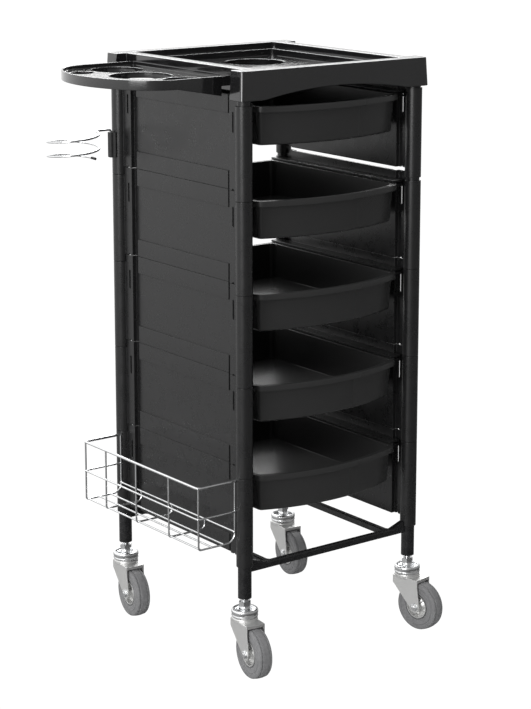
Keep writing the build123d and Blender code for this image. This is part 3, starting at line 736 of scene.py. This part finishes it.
@dataclass
class WireBasket(SubAssembly):
    """The welded chrome basket: two rails, cross hoops, floor rows and their welds."""

    rail_wire: float = 0.002
    mesh_wire: float = 0.0014
    height: float = 0.092
    corner: float = 0.014
    front_corner: float = 0.004
    rail_corner: float = 0.006
    lap: float = 0.0009
    setback: float = 0.003
    bays: Tuple[float, ...] = (-1.0, -0.5, 0.07, 0.62, 1.0)
    floor_rows: Tuple[float, ...] = (0.05, 0.36, 0.68)
    weld_size: float = 0.0019
    sides: int = 12

    def __post_init__(self) -> None:
        """Reads where the basket hangs from its node's box."""
        low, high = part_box("wire_basket")
        self.far, self.near = low.x + self.rail_wire, high.x
        self.wall = self.near - self.setback
        self.middle = (low.y + high.y) / 2
        self.half = (high.y - low.y) / 2 - self.rail_wire
        self.top = high.z - self.rail_wire
        self.low = self.top - self.height
        self.wall_row = self.low + self.corner + 2 * self.lap

    def rails(self) -> List[List[Tuple[float, float, float]]]:
        """The two level wires that go round three sides, the upper one first."""
        made = []
        for z in (self.top, self.top - self.height / 2):
            front, back = self.middle - self.half, self.middle + self.half
            made.append([(self.near, front, z), (self.far, front, z), (self.far, back, z), (self.near, back, z)])
        return made

    def hoops(self) -> List[List[Tuple[float, float, float]]]:
        """The wires that run down the front, across the floor and up at the wall."""
        made = []
        top, far = self.top + self.lap / 2, self.far + self.lap
        for bay in self.bays:
            rise = top if abs(bay) == 1 else self.wall_row + self.mesh_wire
            y = self.middle + bay * (self.half - self.lap)
            made.append([(far, y, top), (far, y, self.low), (self.wall, y, self.low), (self.wall, y, rise)])
        return made

    def floor_lines(self) -> List[List[Tuple[float, float, float]]]:
        """The long straight wires of the floor and of the wall side."""
        front, back = self.middle - self.half, self.middle + self.half
        made = []
        for share in self.floor_rows:
            run = share * (self.wall - self.far)
            inside = max(self.front_corner + self.lap - run, 0.0)
            rise = self.low + self.front_corner - math.sqrt(self.front_corner**2 - inside**2) + self.lap
            made.append([(self.far + run, front, rise), (self.far + run, back, rise)])
        row = self.wall - self.lap
        made.append([(row, front, self.wall_row), (row, back, self.wall_row)])
        return made

    def weld_points(self) -> List[Vector]:
        """Where hoops cross rails and floor wires."""
        found = []
        for bay in self.bays:
            y = self.middle + bay * (self.half - self.lap)
            for z in (self.top, self.top - self.height / 2):
                found.append(Vector((self.far + self.lap / 2, y, z)))
            for line in self.floor_lines():
                found.append(Vector((line[0][0], y, line[0][2] - self.lap / 2)))
        return found

    def build(self) -> None:
        """Builds the rails, the thinner wires and the welds."""
        rail, thin, welds = bmesh.new(), bmesh.new(), bmesh.new()
        upper, lower = self.rails()
        sweep(rail, rounded_path(upper, self.rail_corner), self.rail_wire, self.sides)
        sweep(thin, rounded_path(lower, self.rail_corner), self.mesh_wire, self.sides)
        for wire in self.hoops():
            bends = (0.0, self.front_corner, self.corner, 0.0)
            sweep(thin, rounded_path(wire, bends), self.mesh_wire, self.sides)
        for wire in self.floor_lines():
            sweep(thin, rounded_path(wire, 0), self.mesh_wire, self.sides)
        low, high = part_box("wire_basket")
        for spot in self.weld_points():
            blob = bmesh.ops.create_icosphere(welds, subdivisions=2, radius=self.weld_size)["verts"]
            for vert in blob:
                swell = 1 + WELD_SWELL * noise.noise((vert.co + spot) * WELD_WAVES)
                moved = spot + Vector((vert.co.x, vert.co.y * 0.9, vert.co.z)) * swell * 0.86
                vert.co = Vector([min(max(moved[axis], low[axis]), high[axis]) for axis in range(3)])
        self.piece(rail, "basket_top_rail", ["wire_basket"], WIRE_CHROME, "chrome_wire")
        self.piece(thin, "basket_wires", ["wire_basket"], WIRE_CHROME, "chrome_wire")
        self.piece(welds, "basket_welds", ["wire_basket"], WIRE_CHROME, "chrome_wire")


@dataclass
class DryerHolder(SubAssembly):
    """The snap clip on the back post and the chrome coil that it carries."""

    wire: float = 0.0016
    turns: int = 2
    steps: int = 72
    bend: float = 0.006
    clip_edge: float = 0.0006
    stem_depth: float = 0.0237
    stem_corner: float = 2.4
    tip_reach: float = 0.001
    tip_swell: float = 1.28
    sides: int = 14

    def build(self) -> None:
        """Builds the clip, the coil with its stem and the tip on its free end."""
        self.soften("dryer_clip", CLIP_PLASTIC, "clip_plastic", self.clip_edge)
        low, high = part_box("dryer_ring")
        radius = (high.y - low.y) / 2 - self.wire
        rise = high.z - low.z - 2 * self.wire
        centre = Vector((low.x + self.wire + radius, (low.y + high.y) / 2, 0))
        top = high.z - self.wire
        stem_x, stem_foot = high.x - self.wire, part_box("dryer_clip")[1].z - self.stem_depth
        total = self.turns * self.steps
        coil = []
        for step in range(total - 2):
            angle = math.tau * step / self.steps
            height = top - rise + rise * step / total
            coil.append(centre + Vector((math.cos(angle), math.sin(angle), 0)) * radius + Vector((0, 0, height)))
        turn_in = Vector((centre.x + radius, centre.y, top))
        leave = turn_in + Vector((self.bend, 0, 0))
        for step in range(7):
            share = step / 6
            coil.append(coil[total - 3].lerp(turn_in, share).lerp(turn_in.lerp(leave, share), share))
        route = [leave, (stem_x, centre.y, top), (stem_x, centre.y, stem_foot)]
        stem = rounded_path(route, self.stem_corner * self.wire)
        ring = bmesh.new()
        sweep(ring, coil + stem[1:], self.wire, self.sides)
        self.piece(ring, "dryer_coil", ["dryer_ring"], WIRE_CHROME, "chrome_wire")
        tip = bmesh.new()
        sweep(tip, [coil[0] - Vector((0, self.tip_reach, 0)), *coil[:4]], self.wire * self.tip_swell, self.sides)
        self.piece(tip, "dryer_coil_tip", ["dryer_ring"], VINYL_TIP, "clip_plastic")


@dataclass
class Castor(SubAssembly):
    """One swivel castor under a leg, drawn round its swivel axis and trailing to -Y."""

    corner: str
    wheel_radius_mm: float = 37.5
    wheel_half_mm: float = 11.0
    hub_radius_mm: float = 19.0
    hub_half_mm: float = 12.9
    axle_radius_mm: float = 4.0
    fork_outer_mm: float = 15.4
    head_height_mm: float = 3.5
    race_z_mm: float = 85.5
    stem_radius_mm: float = 5.0
    thread_pitch_mm: float = 1.5
    fork_edge: float = 0.0007
    swivel: Matrix = field(init=False)
    axle: Matrix = field(init=False)

    def __post_init__(self) -> None:
        """Finds the castor's place and its resting turn from its nodes."""
        race = self.middle("race")
        wheel = self.middle("tyre")
        away = wheel - race
        turn = math.atan2(away.x, -away.y)
        self.swivel = Matrix.Translation((race.x, race.y, 0)) @ Matrix.Rotation(turn, 4, "Z")
        trail = math.hypot(away.x, away.y)
        self.axle = self.swivel @ Matrix.Translation((0, -trail, wheel.z)) @ Matrix.Rotation(math.pi / 2, 4, "Y")

    def node(self, part: str) -> str:
        """The full name of one of this castor's nodes."""
        return f"castor_{self.corner}_{part}"

    def middle(self, part: str) -> Vector:
        """The centre of one of this castor's nodes."""
        low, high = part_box(self.node(part))
        return (low + high) / 2

    def add(self, bm: bmesh.types.BMesh, part: str, finish: Finish, slot: str, place: Matrix) -> None:
        """Makes one of this castor's pieces."""
        self.piece(bm, self.node(part) + "_made", [self.node(part)], finish, slot, place, CASTOR_SHARP_ANGLE)

    def tyre(self) -> bmesh.types.BMesh:
        """A tyre with a recessed bead, full side walls and two fine lines in the tread."""
        outer, half, inner = self.wheel_radius_mm, self.wheel_half_mm, self.hub_radius_mm
        side = [
            (inner + 0.05, 8.2), (inner + 1.3, 8.6), (inner + 1.9, half - 0.7), (inner + 3.6, half - 0.1),
            (inner + 7, half),
            (outer - 9.0, half), (outer - 8.0, half - 1.0), (outer - 7.0, half - 0.1), (outer - 4.2, half - 0.3),
            (outer - 1.9, half - 1.0), (outer - 0.9, half - 2.4), (outer - 0.7, half - 4.0), (outer - 1.7, half - 4.6),
            (outer - 1.6, half - 5.2), (outer - 0.4, half - 5.7), (outer - 0.1, half - 7.6), (outer, half - 9.4),
        ]
        loop = side + [(radius, -height) for radius, height in reversed(side)]
        section = ring_section(loop, 0.5, 2)
        return lathe(lambda angle: section, 96)

    def hub(self) -> bmesh.types.BMesh:
        """A pressed hub with a rolled rim, a dished web with five pressings and a bored boss."""
        rim, boss, bore = self.hub_radius_mm, self.hub_half_mm, self.axle_radius_mm + 0.05
        half = [
            (rim, 0.0), (rim, 9.4), (rim - 0.5, 10.3), (rim - 1.5, 10.3), (rim - 2.2, 9.0), (rim - 2.9, 4.6),
            (rim - 4.6, 3.1),
            (rim - 7.0, 3.6), (rim - 9.0, 5.6), (7.4, 6.6), (7.1, boss - 1), (6.4, boss), (bore, boss),
        ]

        def section(angle: float) -> Section:
            """The hub's section with the web pushed in at its pressings."""
            push = 0.9 * max(0.0, math.cos(5 * angle)) ** 3
            face = [(r, h - push if rim - 9.5 < r < rim - 4 else h) for r, h in half]
            return face + [(r, -h) for r, h in reversed(face)][:-1]

        return lathe(section, 120)

    def hexagon(self, flats: float, foot: float, top: float, bore: float, turn: float = 0.0) -> bmesh.types.BMesh:
        """A hexagon head or nut with its corners turned down at both ends.

        Args:
            flats: the size across its flats in millimetres.
            foot: the height of its lower face.
            top: the height of its upper face.
            bore: the radius of its hole, or 0.
            turn: how far it is turned, in radians.

        Returns:
            The mesh, round the Z axis.
        """
        edge, slope = flats / 2 * 1.02, 0.55

        def section(angle: float) -> Section:
            """The section at an angle: a flat face with a cut corner."""
            side = (angle - turn + math.pi / 6) % (math.pi / 3) - math.pi / 6
            reach = flats / 2 / math.cos(side)
            drop = max(0.02, (reach - edge * 0.96) * slope)
            rim = min(reach, edge) * 0.96
            return [(bore, foot), (rim, foot), (reach, foot + drop), (reach, top - drop), (rim, top), (bore, top)]

        return lathe(section, 96, closed=bool(bore))

    def thread(self, foot: float, top: float, depth: float = 0.75) -> Callable[[float], Section]:
        """The threaded part of the stem as a section that climbs one pitch a turn."""
        pitch, per_turn = self.thread_pitch_mm, 6
        count = int((top - foot) / pitch * per_turn)

        def section(angle: float) -> Section:
            """Radius and height of the thread at an angle."""
            made = []
            for step in range(count + 1):
                height = foot + (top - foot) * step / count
                phase = (height / pitch - angle / math.tau) % 1
                fade = min(1.0, (height - foot) / pitch, (top - height) / pitch)
                made.append((self.stem_radius_mm - depth * abs(2 * phase - 1) * fade, height))
            return made

        return section

    def stem(self) -> bmesh.types.BMesh:
        """The riveted head under the crown, a plain shank and the thread above it."""
        low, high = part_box(self.node("stem"))
        foot, top, shank = low.z / MM, high.z / MM, self.stem_radius_mm
        head = [
            (0.0, foot + 0.5), (4.4, foot), (6.9, foot + 0.3), (7.8, foot + 1.4), (7.8, foot + 3.2), (7.2, foot + 3.6),
            (shank, foot + 3.6), (shank, 98.0),
        ]
        thread = self.thread(100.0, top - 1.2)
        tip = [(shank - 1, top), (0.0, top)]
        return lathe(lambda angle: head + thread(angle) + tip, 40, closed=False)

    def race(self) -> bmesh.types.BMesh:
        """The bright cup: rolled lip, dark trough, clamped collar and the ball track below."""
        z = self.race_z_mm
        track = []
        for step in range(7):
            angle = math.pi * (1 - step / 6)
            track.append((13.5 + 1.95 * math.cos(angle), z - 0.15 + 1.95 * math.sin(angle)))
        cup = [
            (5.05, z), *track, (18.2, z), (19.2, z + 0.8), (19.5, z + 2.0), (18.9, z + 3.4), (18.9, z + 4.6),
            (19.6, z + 6.0), (19.6, z + 9.2), (19.1, z + 10.8), (17.9, z + 11.7), (16.6, z + 11.7), (15.6, z + 10.9),
            (15.1, z + 9.0),
            (14.6, z + 5.4), (13.8, z + 4.2), (11.4, z + 3.9), (9.6, z + 4.6),
            (8.7, z + 6.4), (8.2, z + 11.0), (7.6, z + 14.4), (7.2, z + 15.0), (5.05, z + 15.0),
        ]
        return lathe(lambda angle: cup, 96)

    def axle_bolt(self) -> bmesh.types.BMesh:
        """The axle with a hexagon head, a nut, washers and a rounded thread end."""
        outer, height, shank = self.fork_outer_mm, self.head_height_mm, self.axle_radius_mm
        rod = [(0.0, -outer - 0.2), (shank, -outer), (shank, outer), (0.0, outer + 0.2)]
        parts = [lathe(lambda angle: rod, 40, closed=False)]
        for side in (-1, 1):
            ends = sorted((side * (outer + 0.8), side * (outer + height - 0.5)))
            parts.append(self.hexagon(9.6, ends[0], ends[1], 0.0))
            near, away = side * outer, side * (outer + 0.8)
            washer = ring_section([(3.0, near), (6.6, near), (6.6, away), (3.0, away)], 0.2, 2)
            parts.append(lathe(lambda angle, ring=washer: ring, 48))
            cap = [(3.2, outer + 1), (3.2, outer + height - 0.5), (2.6, outer + height - 0.1), (0.0, outer + height)]
            dome = [(radius, side * reach) for radius, reach in cap]
            parts.append(lathe(lambda angle, points=dome: points, 32, closed=False))
        bolt = joined(parts)
        bmesh.ops.holes_fill(bolt, edges=[edge for edge in bolt.edges if edge.is_boundary])
        return bolt

    def build(self) -> None:
        """Builds the castor from the wheel up."""
        self.add(self.tyre(), "tyre", GREY_RUBBER, "grey_tyre", self.axle)
        self.add(self.hub(), "hub", ZINC_PLATE, "zinc_plate", self.axle)
        self.add(self.axle_bolt(), "axle", BRIGHT_ZINC, "bright_fastener", self.axle)
        self.soften(self.node("fork"), ZINC_PLATE, "zinc_plate", self.fork_edge)
        self.add(self.race(), "race", BRIGHT_ZINC, "zinc_plate", self.swivel)
        self.add(self.stem(), "stem", BRIGHT_ZINC, "bright_fastener", self.swivel)
        self.dress(self.node("balls"), BALL_STEEL, "ball_steel")


@dataclass
class LockNuts(SubAssembly):
    """The four hexagon nuts between the castors and the legs."""

    flats_mm: float = 16.0
    turn: float = math.radians(15)
    bore_mm: float = 5.05

    def build(self) -> None:
        """Builds the four nuts as one piece."""
        low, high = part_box("castor_nuts")
        nuts = []
        for corner in CORNERS:
            castor = Castor(corner)
            nut = castor.hexagon(self.flats_mm, low.z / MM, high.z / MM, self.bore_mm, self.turn)
            nut.transform(Matrix.Translation(castor.middle("race") * Vector((1, 1, 0))))
            nuts.append(nut)
        self.piece(joined(nuts), "castor_lock_nuts", ["castor_nuts"], BRIGHT_ZINC, "bright_fastener")


# --- studio -----------------------------------------------------------------
@dataclass(frozen=True)
class Softbox:
    """A square soft light that looks at a point, and may be left out of mirror images."""

    name: str
    place: Colour
    target: Colour
    size: float
    power: float
    mirrored: bool = True

    def build(self) -> None:
        """Adds the light to the scene."""
        data = bpy.data.lights.new(self.name, "AREA")
        data.shape, data.size, data.energy = "SQUARE", self.size, self.power
        lamp = bpy.data.objects.new(self.name, data)
        lamp.location = self.place
        lamp.rotation_euler = (Vector(self.target) - Vector(self.place)).to_track_quat("-Z", "Y").to_euler()
        lamp.visible_camera = False
        lamp.visible_glossy = self.mirrored
        bpy.context.scene.collection.objects.link(lamp)


@dataclass
class Studio:
    """The pale floor, the surroundings, the soft lights and the camera."""

    floor_size: float = 2.4
    floor_colour: Colour = (0.86, 0.86, 0.86)
    backdrop: float = 1.05
    bright_way: Colour = (-0.6, 0.8, 0.0)
    bright: float = 1.2
    dark: float = 0.3
    below: float = 0.28
    eye: Colour = (-1.8569, -2.45405, 1.18756)
    heading: float = math.radians(37.122)
    dip: float = math.radians(11.622)
    lens: float = 105.37
    shift: float = -0.12
    lights: Tuple[Softbox, ...] = (
        Softbox("overhead", (-0.3, -0.2, 3.4), (0, 0, 0.4), 3.2, 100, False),
        Softbox("behind", (1.05, 1.4, 1.8), (0, 0, 0.87), 1.25, 30),
        Softbox("front_left", (-3.3, -1.5, 1.5), (0, 0, 0.3), 2.0, 95),
    )

    def floor(self) -> None:
        """Lays a pale floor with a faint matt mottle, which lights the trolley but isn't seen itself."""
        bm = bmesh.new()
        bmesh.ops.create_grid(bm, x_segments=8, y_segments=8, size=self.floor_size / 2)
        mesh = bpy.data.meshes.new("studio_floor")
        bm.to_mesh(mesh)
        bm.free()
        material = bpy.data.materials.new("studio_floor")
        material.use_nodes = True
        material.node_tree.nodes.clear()
        sheet = Sheet(material.node_tree)
        grain = use_effect(sheet, Effect.GRAIN, grain_size=0.002, ripple_size=0.6)
        colour = sheet.mix(grain["Mottle"], self.floor_colour, tuple(0.99 * part for part in self.floor_colour))
        feeds = {"Base Color": colour, "Roughness": 0.9, "Specular IOR Level": 0.1}
        shader = sheet.add("BsdfPrincipled", feeds)
        sheet.add("OutputMaterial", {"Surface": shader.outputs[0]})
        mesh.materials.append(material)
        floor = bpy.data.objects.new("studio_floor", mesh)
        floor.visible_camera = floor.visible_glossy = False
        bpy.context.scene.collection.objects.link(floor)

    def world(self) -> None:
        """Surrounds the scene with a white backdrop that is brighter on one side than the other."""
        world = bpy.data.worlds.new("studio_world")
        world.use_nodes = True
        world.node_tree.nodes.clear()
        sheet = Sheet(world.node_tree)
        way = sheet.add("TexCoord").outputs["Generated"]
        toward = sheet.add("VectorMath", {0: way, 1: Vector(self.bright_way).normalized()}, operation="DOT_PRODUCT")
        rise = sheet.add("SeparateXYZ", {0: way}).outputs["Z"]
        side = sheet.ramp(toward.outputs["Value"], -0.7, 0.85, self.dark, self.bright)
        glow = sheet.math("MULTIPLY", side, sheet.ramp(rise, -0.34, -0.06, self.below, 1.0))
        seen = sheet.add("LightPath").outputs["Is Camera Ray"]
        strength = sheet.add("Mix", {0: seen, 2: glow, 3: self.backdrop}, data_type="FLOAT").outputs[0]
        light = sheet.add("Background", {"Color": (1, 1, 1, 1), "Strength": strength})
        out = world.node_tree.nodes.new("ShaderNodeOutputWorld")
        world.node_tree.links.new(light.outputs[0], out.inputs["Surface"])
        bpy.context.scene.world = world

    def camera(self) -> None:
        """Sets up the camera."""
        data = bpy.data.cameras.new("studio_camera")
        data.lens, data.sensor_width, data.shift_y = self.lens, 36.0, self.shift
        camera = bpy.data.objects.new("studio_camera", data)
        boxes = [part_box(f"leg_{corner}") for corner in CORNERS]
        middle = sum((low + high for low, high in boxes), Vector()) / (2 * len(boxes))
        camera.location = Vector((middle.x, middle.y, 0)) + Vector(self.eye)
        camera.rotation_euler = (math.pi / 2 - self.dip, 0, -self.heading)
        bpy.context.scene.collection.objects.link(camera)
        bpy.context.scene.camera = camera

    def build(self) -> None:
        """Builds the whole studio."""
        self.floor()
        self.world()
        for light in self.lights:
            light.build()
        self.camera()
        bpy.context.scene.view_settings.view_transform = "Standard"
        log.info("studio: floor, surroundings, %d soft lights and camera", len(self.lights))


def main() -> None:
    """Builds the trolley and its studio."""
    logging.basicConfig(level=logging.INFO, format="%(message)s", force=True)
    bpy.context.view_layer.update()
    assemblies: List[SubAssembly] = [Chassis(), SideWalls(), Trays(), TopDeck(), WireBasket(), DryerHolder()]
    assemblies += [LockNuts(), *(Castor(corner) for corner in CORNERS)]
    for assembly in assemblies:
        assembly.build()
    Studio().build()


if __name__ == "__main__":
    main()
